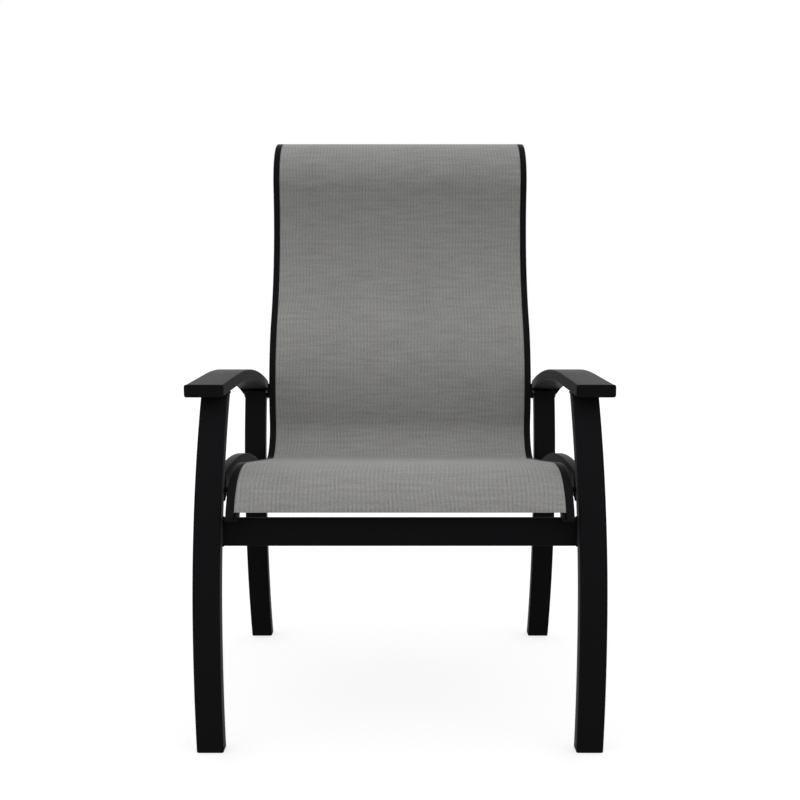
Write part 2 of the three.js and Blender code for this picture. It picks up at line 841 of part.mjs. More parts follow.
addPair("sling_rail", slingRail(), powderCoat);
addPair("rail_foot_cap", railFootCap(), blackNylon);
addPair("rail_head_cap", railHeadCap(), blackNylon);
add("sling_fabric", slingFabric(), wovenGrey);
addPair("spline_rod", splineRod(), blackNylon);

const backward = (run) => leftOf(stationAt(sling, run).heading).negate();
add("seat_spreader", spreader(frontBolt, seatSpreaderBow, backward(frontBoltRun)), powderCoat);
add("back_spreader", spreader(backSpreaderAt, backSpreaderBow, backward(backSpreaderRun)), powderCoat);
add("top_spreader", spreader(topSpreaderAt, topSpreaderBow, backward(topSpreaderRun)), powderCoat);
addPair("seat_spreader_insert", insert(frontBolt), darkSteel);
addPair("back_spreader_insert", insert(backSpreaderAt), darkSteel);
addPair("top_spreader_insert", insert(topSpreaderAt), darkSteel);

addPair("front_spacer", spacer(frontBolt), blackNylon);
addPair("rear_spacer", platedSpacer(), blackNylon);
addPair("front_bolt", bolt(frontBolt, railInner - screwBite), darkSteel);
addPair("rear_bolt", bolt(rearBolt, railInner - nutHeight + nutFloor + lap), darkSteel);
addPair("rear_cap_nut", capNut(rearBolt), darkSteel);
addPair("back_spreader_screw", screw(backSpreaderAt), darkSteel);
addPair("top_spreader_screw", screw(topSpreaderAt), darkSteel);

// The origin lies on the floor under the middle of the chair's box
chair.updateMatrixWorld(true);
const bounds = new THREE.Box3().setFromObject(chair);
chair.position.y = -(bounds.min.y + bounds.max.y) / 2;

export default chair;
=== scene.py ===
"""Looks of a high-backed sling chair for a patio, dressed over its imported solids.

Lengths in the classes are millimetres in the chair's own side view: x to the sitter's left, y to the rear
from the foremost point of the front legs, z up from the floor. They become metres when a mesh is made.
"""

from __future__ import annotations

import json
import logging
import math
from dataclasses import dataclass, field, replace
from enum import Enum
from functools import cached_property

import bmesh
import bpy
import numpy as np
from bpy.types import Material, Mesh, Node, NodeSocket, Object, World
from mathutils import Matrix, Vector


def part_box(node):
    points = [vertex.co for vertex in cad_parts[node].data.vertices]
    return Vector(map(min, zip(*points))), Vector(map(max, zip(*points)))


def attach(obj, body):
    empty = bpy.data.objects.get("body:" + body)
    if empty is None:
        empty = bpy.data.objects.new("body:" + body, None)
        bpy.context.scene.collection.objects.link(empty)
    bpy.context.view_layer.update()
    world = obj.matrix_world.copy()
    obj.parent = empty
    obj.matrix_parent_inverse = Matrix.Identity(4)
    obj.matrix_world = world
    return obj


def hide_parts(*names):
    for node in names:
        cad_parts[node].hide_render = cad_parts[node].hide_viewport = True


log = logging.getLogger("chair")
MILLIMETRE = 0.001
BODY = "root"
STATION_STEP = 2.0
CORNER_STEPS = 8
CORNER_POINTS = CORNER_STEPS + 1
WHITE = (1.0, 1.0, 1.0, 1.0)


class Slot(Enum):
    """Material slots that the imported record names."""

    FRAME = "frame"
    SLING = "sling"
    NYLON = "nylon"
    FASTENER = "fastener"


class Side(Enum):
    """The sitter's two sides, with the sign of x there."""

    LEFT = 1
    RIGHT = -1

    def node(self, name: str) -> str:
        """Name this side's one of a pair."""
        return f"{name}_{self.name.lower()}"


# Profiles and runs


def arc(u: float, v: float, radius: float, start: float, stop: float,
        steps: int = CORNER_STEPS) -> np.ndarray:
    """Points of an arc.

    Args:
        u: the centre's first coordinate.
        v: the centre's second coordinate.
        radius: the arc's radius.
        start: the first angle, in degrees.
        stop: the last angle, in degrees.
        steps: how many chords the arc has.

    Returns:
        The points, one row each.
    """
    angles = np.radians(np.linspace(start, stop, steps + 1))
    return np.column_stack([u + radius * np.cos(angles), v + radius * np.sin(angles)])


def rounded_box(u0: float, v0: float, u1: float, v1: float, low: float, high: float) -> np.ndarray:
    """A rectangle with one rounding for its low corners and one for its high corners.

    Args:
        u0: least u.
        v0: least v.
        u1: greatest u.
        v1: greatest v.
        low: radius of the two corners at v0.
        high: radius of the two corners at v1.

    Returns:
        The outline, counter-clockwise.
    """
    return np.vstack([
        arc(u0 + low, v0 + low, low, 180, 270),
        arc(u1 - low, v0 + low, low, 270, 360),
        arc(u1 - high, v1 - high, high, 0, 90),
        arc(u0 + high, v1 - high, high, 90, 180),
    ])


def shrunk(outline: np.ndarray, insets: np.ndarray) -> np.ndarray:
    """An outline drawn in all round, once for each inset, by scaling its two widths.

    Args:
        outline: points, one row each.
        insets: how far each side moves in.

    Returns:
        A stack of outlines.
    """
    middle = (outline.max(axis=0) + outline.min(axis=0)) / 2
    size = np.ptp(outline, axis=0)
    return middle + (outline - middle) * (size - 2 * insets[:, None, None]) / size


def eased_end(start: float, stop: float, ease: float, steps: int) -> tuple[np.ndarray, np.ndarray]:
    """The end of a piece whose rim is rounded by a quarter circle.

    Args:
        start: the station where the piece begins.
        stop: the station of its end face.
        ease: the radius of the rounding.
        steps: how many chords the rounding has.

    Returns:
        The stations and how far the section is drawn in at each.
    """
    angles = np.radians(np.linspace(0, 90, steps + 1))
    stations = np.concatenate([[start], stop - ease + ease * np.sin(angles)])
    return stations, np.concatenate([[0.0], ease * (1 - np.cos(angles))])


def resampled(loop: np.ndarray, step: float) -> np.ndarray:
    """A closed loop with evenly spaced points.

    Args:
        loop: points in space.
        step: the wanted spacing.

    Returns:
        The new points.
    """
    ring = np.vstack([loop, loop[:1]])
    run = np.concatenate([[0.0], np.cumsum(np.linalg.norm(np.diff(ring, axis=0), axis=1))])
    wanted = np.linspace(0, run[-1], max(8, round(run[-1] / step)), endpoint=False)
    return np.column_stack([np.interp(wanted, run, ring[:, k]) for k in range(3)])


@dataclass(frozen=True)
class Straight:
    """A straight move of a run."""

    run: float


@dataclass(frozen=True)
class Turn:
    """An arc of a run, up to a heading in degrees."""

    radius: float
    to: float


@dataclass
class Run:
    """A line in the side view, as dense stations with a heading each."""

    y: np.ndarray
    z: np.ndarray
    heading: np.ndarray
    length: np.ndarray

    @classmethod
    def trace(cls, heading: float, moves: tuple[Straight | Turn, ...]) -> Run:
        """Follow moves from (0, 0): each adds its own line to where the one before it ends.

        Args:
            heading: the first heading, in degrees above +y.
            moves: the moves, in order.

        Returns:
            The run.
        """
        lines = [np.array([[0.0, 0.0, heading, 0.0]])]
        for move in moves:
            y0, z0, h0, s0 = lines[-1][-1]
            first, straight = math.radians(h0), isinstance(move, Straight)
            to = h0 if straight else move.to
            turn = math.radians(to - h0)
            total = move.run if straight else abs(turn) * move.radius
            along = np.linspace(0, total, max(2, round(total / STATION_STEP)) + 1)[1:]
            heads = h0 + (to - h0) * along / total
            if straight:
                dy, dz = along * math.cos(first), along * math.sin(first)
            else:
                side = math.copysign(move.radius, turn)
                dy = side * (np.sin(np.radians(heads)) - math.sin(first))
                dz = side * (math.cos(first) - np.cos(np.radians(heads)))
            lines.append(np.column_stack([y0 + dy, z0 + dz, heads, s0 + along]))
        return cls(*np.vstack(lines).T)

    def moved(self, dy: float, dz: float) -> Run:
        """The same run, further to the rear and up."""
        return Run(self.y + dy, self.z + dz, self.heading, self.length)

    def at(self, run: float | np.ndarray, depth: float | np.ndarray = 0.0) -> tuple:
        """Points below the run's face.

        Args:
            run: distance along the run.
            depth: distance below its face.

        Returns:
            y, z and heading there.
        """
        heading = np.interp(run, self.length, self.heading)
        turn = np.radians(heading)
        y = np.interp(run, self.length, self.y) + np.sin(turn) * depth
        z = np.interp(run, self.length, self.z) - np.cos(turn) * depth
        return y, z, heading

    def rings(self, section: np.ndarray, runs: np.ndarray) -> np.ndarray:
        """Carry one section, or one per station, along the run.

        Args:
            section: points (u, v), or a stack of them.
            runs: the stations' distances.

        Returns:
            Points in space: stations, points, xyz.
        """
        stack = np.broadcast_to(section, (len(runs), *section.shape[-2:]))
        y, z, _ = self.at(runs[:, None], -stack[..., 1])
        return np.stack([stack[..., 0], y, z], axis=-1)


# Sizes shared by the sub-assemblies


@dataclass(frozen=True)
class Bow:
    """The front face of legs that bulge forward: two upright arcs that meet where the legs stand foremost."""

    radius: float
    foot_radius: float
    height: float
    foremost: float

    def face(self, z: float | np.ndarray, inset: float | np.ndarray = 0.0) -> np.ndarray:
        """The y, at a height, of a surface that stands an inset behind the bow's face."""
        radius = np.where(np.asarray(z) > self.height, self.radius, self.foot_radius)
        return self.foremost + radius - np.sqrt((radius - inset) ** 2 - (z - self.height) ** 2)


@dataclass(frozen=True)
class Sizes:
    """The chair's widths and lines, as the solids have them."""

    leg_outer: float = 315.0
    leg_width: float = 41.8
    leg_depth: float = 30.0
    rail_width: float = 18.4
    rail_depth: float = 28.0
    spacer_length: float = 8.2
    front_bow: Bow = Bow(696.0, 1136.0, 203.9, 0.0)
    rear_radius: float = 713.0
    rear_foot_radius: float = 879.0
    rear_height: float = 365.9
    rear_leg_top: float = 527.9
    front_bolt_height: float = 406.5
    front_bolt_setback: float = 20.9
    front_bolt_run: float = 92.0
    front_bolt_depth: float = 13.5
    rear_bolt_drop: float = 9.1
    rear_bolt_depth: float = 22.0
    rear_bolt_setback: float = 10.3
    arm_width: float = 60.5
    arm_thickness: float = 19.0
    tube_cap: float = 2.5
    seam: float = 0.3
    toe_heading: float = 73.0
    sling_moves: tuple[Straight | Turn, ...] = (
        Straight(30.0), Turn(95.0, 13.0), Turn(200.0, -6.4), Straight(341.5), Turn(58.4, 101.0),
        Turn(286.6, 57.8), Turn(397.6, 98.4), Turn(92.0, 21.0), Turn(140.0, -3.0), Straight(14.0),
    )
    back_start: float = 450.0
    search_step: float = 0.25

    @property
    def leg_inner(self) -> float:
        """The legs' inner face."""
        return self.leg_outer - self.leg_width

    @property
    def rail_outer(self) -> float:
        """The sling rails' outer face."""
        return self.leg_inner - self.spacer_length

    @property
    def rail_inner(self) -> float:
        """The sling rails' inner face."""
        return self.rail_outer - self.rail_width

    @cached_property
    def sling(self) -> Run:
        """The sling's face, placed so that its front bolt meets the front leg's.

        Returns:
            The run from the toe of the rails to their head.
        """
        loose = Run.trace(self.toe_heading, self.sling_moves)
        y, z, _ = loose.at(self.front_bolt_run, self.front_bolt_depth)
        target = self.front_bow.face(self.front_bolt_height) + self.front_bolt_setback
        return loose.moved(float(target - y), float(self.front_bolt_height - z))

    @cached_property
    def rear_bolt_run(self) -> float:
        """Where the rear bolt, a drop below the rear leg's top, meets the sling's back.

        Returns:
            The distance along the sling.
        """
        runs = np.arange(self.back_start, self.sling.length[-1], self.search_step)
        _, z, _ = self.sling.at(runs, self.rear_bolt_depth)
        return float(runs[np.argmax(z >= self.rear_leg_top - self.rear_bolt_drop)])

    @cached_property
    def rear_bow(self) -> Bow:
        """The rear legs' bow, standing where their rear bolts need it.

        Returns:
            The bow.
        """
        y, z, _ = self.sling.at(self.rear_bolt_run, self.rear_bolt_depth)
        still = Bow(self.rear_radius, self.rear_foot_radius, self.rear_height, 0.0)
        return replace(still, foremost=float(y - self.rear_bolt_setback - still.face(z)))


# Meshes


@dataclass
class Workshop:
    """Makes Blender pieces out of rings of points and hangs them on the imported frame."""

    shift: float
    finishes: dict[Slot, Material]
    sharp: float = 35.0
    reach: float = 2e-6
    made: list[Object] = field(default_factory=list)

    def loft(self, name: str, rings: np.ndarray, *, closed: bool = False, merged: bool = False) -> Object:
        """Skin rings of points, with the first and last filled, as a smooth-shaded piece on the frame.

        Args:
            name: the piece's name.
            rings: rings, points, xyz, with each ring closed on itself.
            closed: whether the last ring joins the first instead.
            merged: whether points that lie on one another become one.

        Returns:
            The new object.
        """
        count, size = rings.shape[:2]
        grid = np.arange(count * size).reshape(count, size)
        if closed:
            grid = np.vstack([grid, grid[:1]])
        a, d = grid[:-1], grid[1:]
        b, c = np.roll(a, -1, axis=1), np.roll(d, -1, axis=1)
        faces = np.stack([a, d, c, b], axis=-1).reshape(-1, 4).tolist()
        if not closed:
            faces += [grid[0].tolist(), grid[-1][::-1].tolist()]
        mesh = bpy.data.meshes.new(name)
        metres = rings.reshape(-1, 3) * MILLIMETRE + np.array([0.0, self.shift, 0.0])
        mesh.from_pydata(metres.tolist(), [], faces)
        self.settle(mesh, merged)
        mesh.shade_smooth()
        mesh.set_sharp_from_angle(angle=math.radians(self.sharp))
        obj = bpy.data.objects.new(name, mesh)
        bpy.context.scene.collection.objects.link(obj)
        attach(obj, BODY)
        self.made.append(obj)
        return obj

    def settle(self, mesh: Mesh, merged: bool) -> None:
        """Turn a closed mesh's faces outwards, by the sign of its volume.

        Args:
            mesh: the mesh.
            merged: whether points that lie on one another are joined first.
        """
        work = bmesh.new()
        work.from_mesh(mesh)
        if merged:
            bmesh.ops.remove_doubles(work, verts=work.verts, dist=self.reach)
            work.to_mesh(mesh)
        mesh.update()
        if work.calc_volume(signed=True) < 0:
            mesh.flip_normals()
        work.free()

    def dress(self, obj: Object, slot: Slot, *nodes: str) -> None:
        """Give a piece its finish and hide the solids that it stands in for.

        Args:
            obj: the piece.
            slot: the record's slot for it.
            nodes: the solids that it replaces.
        """
        obj.data.materials.clear()
        obj.data.materials.append(self.finishes[slot])
        if nodes:
            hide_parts(*nodes)
        log.info("%s: %d faces, %s", obj.name, len(obj.data.polygons), slot.value)

    def shell(self, node: str, rings: np.ndarray, slot: Slot, ending: str = "_shell", **skin: bool) -> None:
        """Make a dressed piece named after the solid that it replaces, or after none if it has no ending."""
        piece = self.loft(node + ending, rings, **skin)
        self.dress(piece, slot, *([node] if ending else []))

    def pair(self, name: str, rings: np.ndarray, slot: Slot, ending: str = "_shell", **skin: bool) -> None:
        """Make a shell on the left, which the rings are for, and its mirror image on the right."""
        for side in Side:
            self.shell(side.node(name), rings * [side.value, 1, 1], slot, ending, **skin)


# Finishes


class Graph:
    """A node tree, with short calls to fill it."""

    def __init__(self, owner: Material | World) -> None:
        """Take up the tree of a material or of the world."""
        owner.use_nodes = True
        self.owner, self.tree = owner, owner.node_tree

    @classmethod
    def finish(cls, name: str) -> Graph:
        """Start a new material on the standard surface shader."""
        return cls(bpy.data.materials.new(name))

    def fill(self, node: Node, inputs: dict) -> None:
        """Set a node's sockets, or link outputs to them.

        Args:
            node: the node.
            inputs: socket to value, or to the output that feeds it.
        """
        for key, value in inputs.items():
            if isinstance(value, NodeSocket):
                self.tree.links.new(value, node.inputs[key])
            else:
                node.inputs[key].default_value = value

    def coat(self, inputs: dict) -> Material:
        """Set or feed the surface shader's sockets and hand over the material."""
        self.fill(self.tree.nodes["Principled BSDF"], inputs)
        return self.owner

    def node(self, kind: str, inputs: dict | None = None, **settings: str) -> Node:
        """Add a node.

        Args:
            kind: its type.
            inputs: socket to value, or to the output that feeds it.
            settings: its own settings.

        Returns:
            The node.
        """
        node = self.tree.nodes.new(kind)
        for key, value in settings.items():
            setattr(node, key, value)
        self.fill(node, inputs or {})
        return node

    def math(self, operation: str, *terms: float | NodeSocket) -> NodeSocket:
        """The result of a sum on up to three numbers or outputs."""
        return self.node("ShaderNodeMath", dict(enumerate(terms)), operation=operation).outputs[0]

    def about(self, factor: NodeSocket, spread: float, middle: float = 0.0) -> NodeSocket:
        """A number that runs through a spread about its middle while the factor goes from 0 to 1."""
        return self.math("MULTIPLY_ADD", factor, spread, middle - spread / 2)

    def noise(self, place: NodeSocket, scale: float, detail: float) -> NodeSocket:
        """Smooth noise round a half, with a number of finer layers."""
        inputs = {"Vector": place, "Scale": scale, "Detail": detail}
        return self.node("ShaderNodeTexNoise", inputs).outputs["Fac"]

    def drawn_noise(self, place: NodeSocket, scale: tuple) -> NodeSocket:
        """Smooth noise with a scale of its own on each axis."""
        drawn = self.node("ShaderNodeMapping", {"Vector": place, "Scale": scale})
        return self.noise(drawn.outputs["Vector"], 1.0, 1.0)

    def tinted(self, factor: NodeSocket, dark: tuple, light: tuple) -> NodeSocket:
        """A colour between a dark and a light one."""
        inputs = {"Factor": factor, "A": (*dark, 1.0), "B": (*light, 1.0)}
        return self.node("ShaderNodeMix", inputs, data_type="RGBA").outputs["Result"]

    def bump(self, height: NodeSocket, strength: float, distance: float, **under: NodeSocket) -> NodeSocket:
        """A normal bumped by a height that is a distance in metres at 1, over the Normal if one is given."""
        inputs = {"Height": height, "Strength": strength, "Distance": distance, **under}
        return self.node("ShaderNodeBump", inputs).outputs["Normal"]

    def object_place(self) -> NodeSocket:
        """The place on the object, in metres."""
        return self.node("ShaderNodeTexCoord").outputs["Object"]


@dataclass(frozen=True)
class PowderCoat:
    """Black satin powder coat: fine orange peel over very slightly uneven film."""

    dark: tuple = (0.0080, 0.0080, 0.0090)
    light: tuple = (0.0108, 0.0108, 0.0120)
    cloud_scale: float = 9.0
    cloud_detail: float = 3.0
    fleck_scale: float = 700.0
    roughness: float = 0.40
    unevenness: float = 0.08
    specular: float = 0.004
    bloom: float = 0.14
    bloom_roughness: float = 0.30
    peel_scale: float = 420.0
    peel_height: float = 0.0002
    grain_scale: float = 1500.0
    grain_height: float = 0.0001
    relief: float = 0.10

    def build(self) -> Material:
        """Make the material.

        Returns:
            The material.
        """
        graph = Graph.finish("powder_coat")
        place = graph.object_place()
        cloud = graph.noise(place, self.cloud_scale, self.cloud_detail)
        fleck = graph.noise(place, self.fleck_scale, 1.0)
        shade = graph.math("MULTIPLY_ADD", fleck, 0.5, graph.math("MULTIPLY", cloud, 0.5))
        peel = graph.bump(graph.noise(place, self.peel_scale, 1.0), self.relief, self.peel_height)
        grain = graph.noise(place, self.grain_scale, 0.0)
        return graph.coat({
            "Base Color": graph.tinted(shade, self.dark, self.light),
            "Roughness": graph.about(cloud, self.unevenness, self.roughness),
            "Specular IOR Level": self.specular,
            "Sheen Weight": self.bloom,
            "Sheen Roughness": self.bloom_roughness,
            "Normal": graph.bump(grain, self.relief, self.grain_height, Normal=peel),
        })


@dataclass(frozen=True)
class Moulded:
    """Moulded black nylon with a fine spark-eroded grain."""

    dark: tuple = (0.0060, 0.0060, 0.0066)
    light: tuple = (0.0090, 0.0090, 0.0099)
    cloud_scale: float = 40.0
    cloud_detail: float = 2.0
    roughness: float = 0.5
    unevenness: float = 0.1
    specular: float = 0.02
    grain_scale: float = 1600.0
    grain_height: float = 0.0001
    relief: float = 0.25

    def build(self) -> Material:
        """Make the material.

        Returns:
            The material.
        """
        graph = Graph.finish("moulded_nylon")
        place = graph.object_place()
        grain = graph.node("ShaderNodeTexVoronoi", {"Vector": place, "Scale": self.grain_scale})
        cloud = graph.noise(place, self.cloud_scale, self.cloud_detail)
        return graph.coat({
            "Base Color": graph.tinted(cloud, self.dark, self.light),
            "Roughness": graph.about(cloud, self.unevenness, self.roughness),
            "Specular IOR Level": self.specular,
            "Normal": graph.bump(grain.outputs["Distance"], self.relief, self.grain_height),
        })


@dataclass(frozen=True)
class DarkSteel:
    """Blackened stainless steel with fine turning marks."""

    dark: tuple = (0.020, 0.020, 0.022)
    light: tuple = (0.045, 0.045, 0.048)
    cloud_scale: float = 60.0
    cloud_detail: float = 2.0
    roughness: float = 0.34
    unevenness: float = 0.12
    mark_scale: tuple = (2500.0, 90.0, 90.0)
    mark_height: float = 0.00005
    relief: float = 0.12

    def build(self) -> Material:
        """Make the material.

        Returns:
            The material.
        """
        graph = Graph.finish("dark_steel")
        place = graph.object_place()
        mark = graph.drawn_noise(place, self.mark_scale)
        cloud = graph.noise(place, self.cloud_scale, self.cloud_detail)
        return graph.coat({
            "Base Color": graph.tinted(cloud, self.dark, self.light),
            "Metallic": 1.0,
            "Roughness": graph.about(mark, self.unevenness, self.roughness),
            "Normal": graph.bump(mark, self.relief, self.mark_height),
        })


@dataclass(frozen=True)
class Stripe:
    """A fine stripe along the cloth, where ends of two shades take turns."""

    period: float
    strength: float
    wander: float


@dataclass(frozen=True)
class Mottle:
    """Noise in the cloth's shade, with a scale of its own on each axis."""

    scale: tuple
    strength: float


@dataclass(frozen=True)
class WovenSling:
    """Grey vinyl-coated mesh: a plain weave of round yarns, whose ends in two shades make fine stripes."""

    pitch: float = 0.00113
    shade: tuple = (0.276, 0.274, 0.264)
    spread: float = 0.30
    stripes: tuple = (Stripe(0.0068, 0.082, 2.4), Stripe(0.00554, 0.026, 1.2))
    drift_scale: tuple = (3.0, 9.0, 1.0)
    patch_scale: tuple = (45.0, 75.0, 1.0)
    patchiness: float = 3.0
    weft: Mottle = Mottle((18.0, 150.0, 1.0), 0.38)
    fleck: Mottle = Mottle((230.0, 330.0, 1.0), 0.46)
    cloud: Mottle = Mottle((11.0, 16.0, 1.0), 0.10)
    # relief: how much darker the gaps between the yarns are painted, a painted shade in the colour
    relief: float = 0.10
    roughness: float = 0.78
    specular: float = 0.2
    fuzz: float = 0.35
    fuzz_roughness: float = 0.3
    yarn_relief: float = 0.45
    yarn_height: float = 0.0004

    def build(self) -> Material:
        """Make the material, read from the cloth's own coordinates in metres.

        The shade is the yarn's own colour times one plus: the stripes, each a sine across the cloth whose
        phase wanders slowly along it and whose strength comes and goes in patches; noise drawn out across the
        cloth for uneven weft yarns; fine and broad noise; and a painted shade set by the height of the weave,
        darker in the gaps between the yarns.

        Returns:
            The material.
        """
        graph = Graph.finish("woven_sling")
        cloth = graph.node("ShaderNodeUVMap", uv_map="cloth").outputs["UV"]
        across, along, _ = graph.node("ShaderNodeSeparateXYZ", {"Vector": cloth}).outputs
        height = self.weave(graph, across, along)
        # painted shade: the colour is darker in the gaps between the yarns, set by the weave's height
        tone = graph.about(height, self.relief)
        drift = graph.drawn_noise(cloth, self.drift_scale)
        patch = graph.drawn_noise(cloth, self.patch_scale)
        for stripe in self.stripes:
            turn = graph.math("MULTIPLY", across, 2 * math.pi / stripe.period)
            phase = graph.math("MULTIPLY_ADD", drift, 2 * math.pi * stripe.wander, turn)
            strength = graph.about(patch, stripe.strength * self.patchiness, stripe.strength)
            tone = graph.math("MULTIPLY_ADD", graph.math("SINE", phase), strength, tone)
        for mottle in (self.weft, self.fleck, self.cloud):
            noise = graph.math("SUBTRACT", graph.drawn_noise(cloth, mottle.scale), 0.5)
            tone = graph.math("MULTIPLY_ADD", noise, mottle.strength, tone)
        share = graph.math("MULTIPLY_ADD", tone, 0.5 / self.spread, 0.5)
        dark, light = (tuple(value * (1 + side * self.spread) for value in self.shade) for side in (-1, 1))
        return graph.coat({
            "Base Color": graph.tinted(share, dark, light),
            "Roughness": self.roughness,
            "Specular IOR Level": self.specular,
            "Sheen Weight": self.fuzz,
            "Sheen Roughness": self.fuzz_roughness,
            "Normal": graph.bump(height, self.yarn_relief, self.yarn_height),
        })

    def weave(self, graph: Graph, across: NodeSocket, along: NodeSocket) -> NodeSocket:
        """Height of a plain weave: |sin| over the yarns' pitch, of the warp or the weft by turns.

        Args:
            graph: the material's graph.
            across: distance across the cloth.
            along: distance along it.

        Returns:
            The height's output, from 0 in a gap to 1 on a yarn.
        """
        warp, weft = (graph.math("SINE", graph.math("MULTIPLY", place, math.pi / self.pitch))
                      for place in (across, along))
        over = graph.math("GREATER_THAN", graph.math("MULTIPLY", warp, weft), 0.0)
        inputs = {"Factor": over, "A": graph.math("ABSOLUTE", weft), "B": graph.math("ABSOLUTE", warp)}
        return graph.node("ShaderNodeMix", inputs).outputs["Result"]


# Sub-assemblies


@dataclass
class Arms:
    """Wide flat bars that bend down behind the rear legs."""

    sizes: Sizes
    round: float = 3.5
    crown_radius: float = 1293.0
    front_pitch: float = 3.4
    rear_pitch: float = 12.9
    bend_radius: float = 20.0
    tail_height: float = 512.9
    tail_length: float = 16.8
    taper: float = 24.0
    taper_share: float = 4.0
    tip_runs: tuple = (0.0, 0.35, 1.0)
    tip_insets: tuple = (1.0, 0.35, 0.0)
    overhang: float = 38.0
    cap_lip: float = 0.5
    cap_ease: float = 1.6
    bend_step: float = 1.5
    step: float = 5.0
    end_margin: float = 3.0
    clear_of_bend: float = 30.0
    underside_stations: int = 400
    spare: float = 600.0

    def __post_init__(self) -> None:
        """Trace the outer face from the tail's end up round the bend and forward, and find its length."""
        s, bow = self.sizes, self.sizes.rear_bow
        rise = self.tail_height + self.tail_length / 2 - bow.height
        heading = 90.0 - math.degrees(math.asin(rise / (bow.radius - s.leg_depth)))
        loose = Run.trace(heading, (
            Straight(self.tail_length), Turn(self.bend_radius, 180 - self.rear_pitch),
            Turn(self.crown_radius, 180 + self.front_pitch), Straight(self.spare),
        ))
        turn = math.radians(heading)
        out = s.arm_thickness + s.seam
        y = float(bow.face(self.tail_height, s.leg_depth)) + math.sin(turn) * out
        self.run = loose.moved(y, self.tail_height - math.cos(turn) * out)
        self.length = self.front_end()
        self.bend_end = self.tail_length + math.radians(180 - self.rear_pitch - heading) * self.bend_radius

    def front_end(self) -> float:
        """Find where the arm ends, an overhang ahead of the front leg.

        Returns:
            The arm's length along its outer face.
        """
        run, s = self.run, self.sizes
        start = len(run.length) - round(self.spare / STATION_STEP)
        ahead = run.y[start:] - (s.front_bow.face(run.z[start:] - s.arm_thickness) - self.overhang)
        return float(np.interp(0.0, ahead[::-1], run.length[start:][::-1]))

    def underside(self, y: np.ndarray) -> np.ndarray:
        """Height of the arm's underside ahead of its bend.

        Args:
            y: distance to the rear.

        Returns:
            z there.
        """
        runs = np.linspace(self.bend_end + self.clear_of_bend, self.length, self.underside_stations)
        under_y, under_z, _ = self.run.at(runs, -self.sizes.arm_thickness)
        return np.interp(y, under_y[::-1], under_z[::-1])

    def section(self) -> np.ndarray:
        """The arm's section, as points (u, v) with v 0 on the outer face."""
        inner, s = self.sizes.leg_inner, self.sizes
        return rounded_box(inner, 0.0, inner + s.arm_width, s.arm_thickness, self.round, self.round)

    def body(self) -> np.ndarray:
        """The bar: down its tail, the outer share of its width moves in until it is as wide as the leg.

        Returns:
            Rings of points.
        """
        s = self.sizes
        end = self.length - s.tube_cap - s.seam
        runs = np.concatenate([
            self.tip_runs, np.arange(self.tip_runs[-1] + self.bend_step, self.bend_end, self.bend_step),
            np.arange(self.bend_end, end - self.end_margin, self.step), [end]])
        insets = np.interp(runs, self.tip_runs, self.tip_insets)
        rings = self.run.rings(shrunk(self.section(), insets), runs)
        share = np.clip((rings[..., 2] - self.run.z[0]) / self.taper, 0.0, 1.0)
        across = (rings[..., 0] - s.leg_inner) / s.arm_width
        over = np.clip(across * self.taper_share - (self.taper_share - 1), 0.0, 1.0)
        excess = s.leg_inner + s.arm_width - s.leg_outer
        rings[..., 0] -= np.where(runs < self.bend_end, 1, 0)[:, None] * over * (1 - share) * excess
        return rings

    def cap(self) -> np.ndarray:
        """Rings of the end cap, with eased edges, a lip wider than the bar."""
        runs, insets = eased_end(self.length - self.sizes.tube_cap, self.length, self.cap_ease, steps=6)
        return self.run.rings(shrunk(self.section(), insets - self.cap_lip), runs)

    def build(self, shop: Workshop) -> None:
        """Make the arms and their caps."""
        shop.pair("arm", self.body(), Slot.FRAME)
        shop.pair("arm_cap", self.cap(), Slot.NYLON)


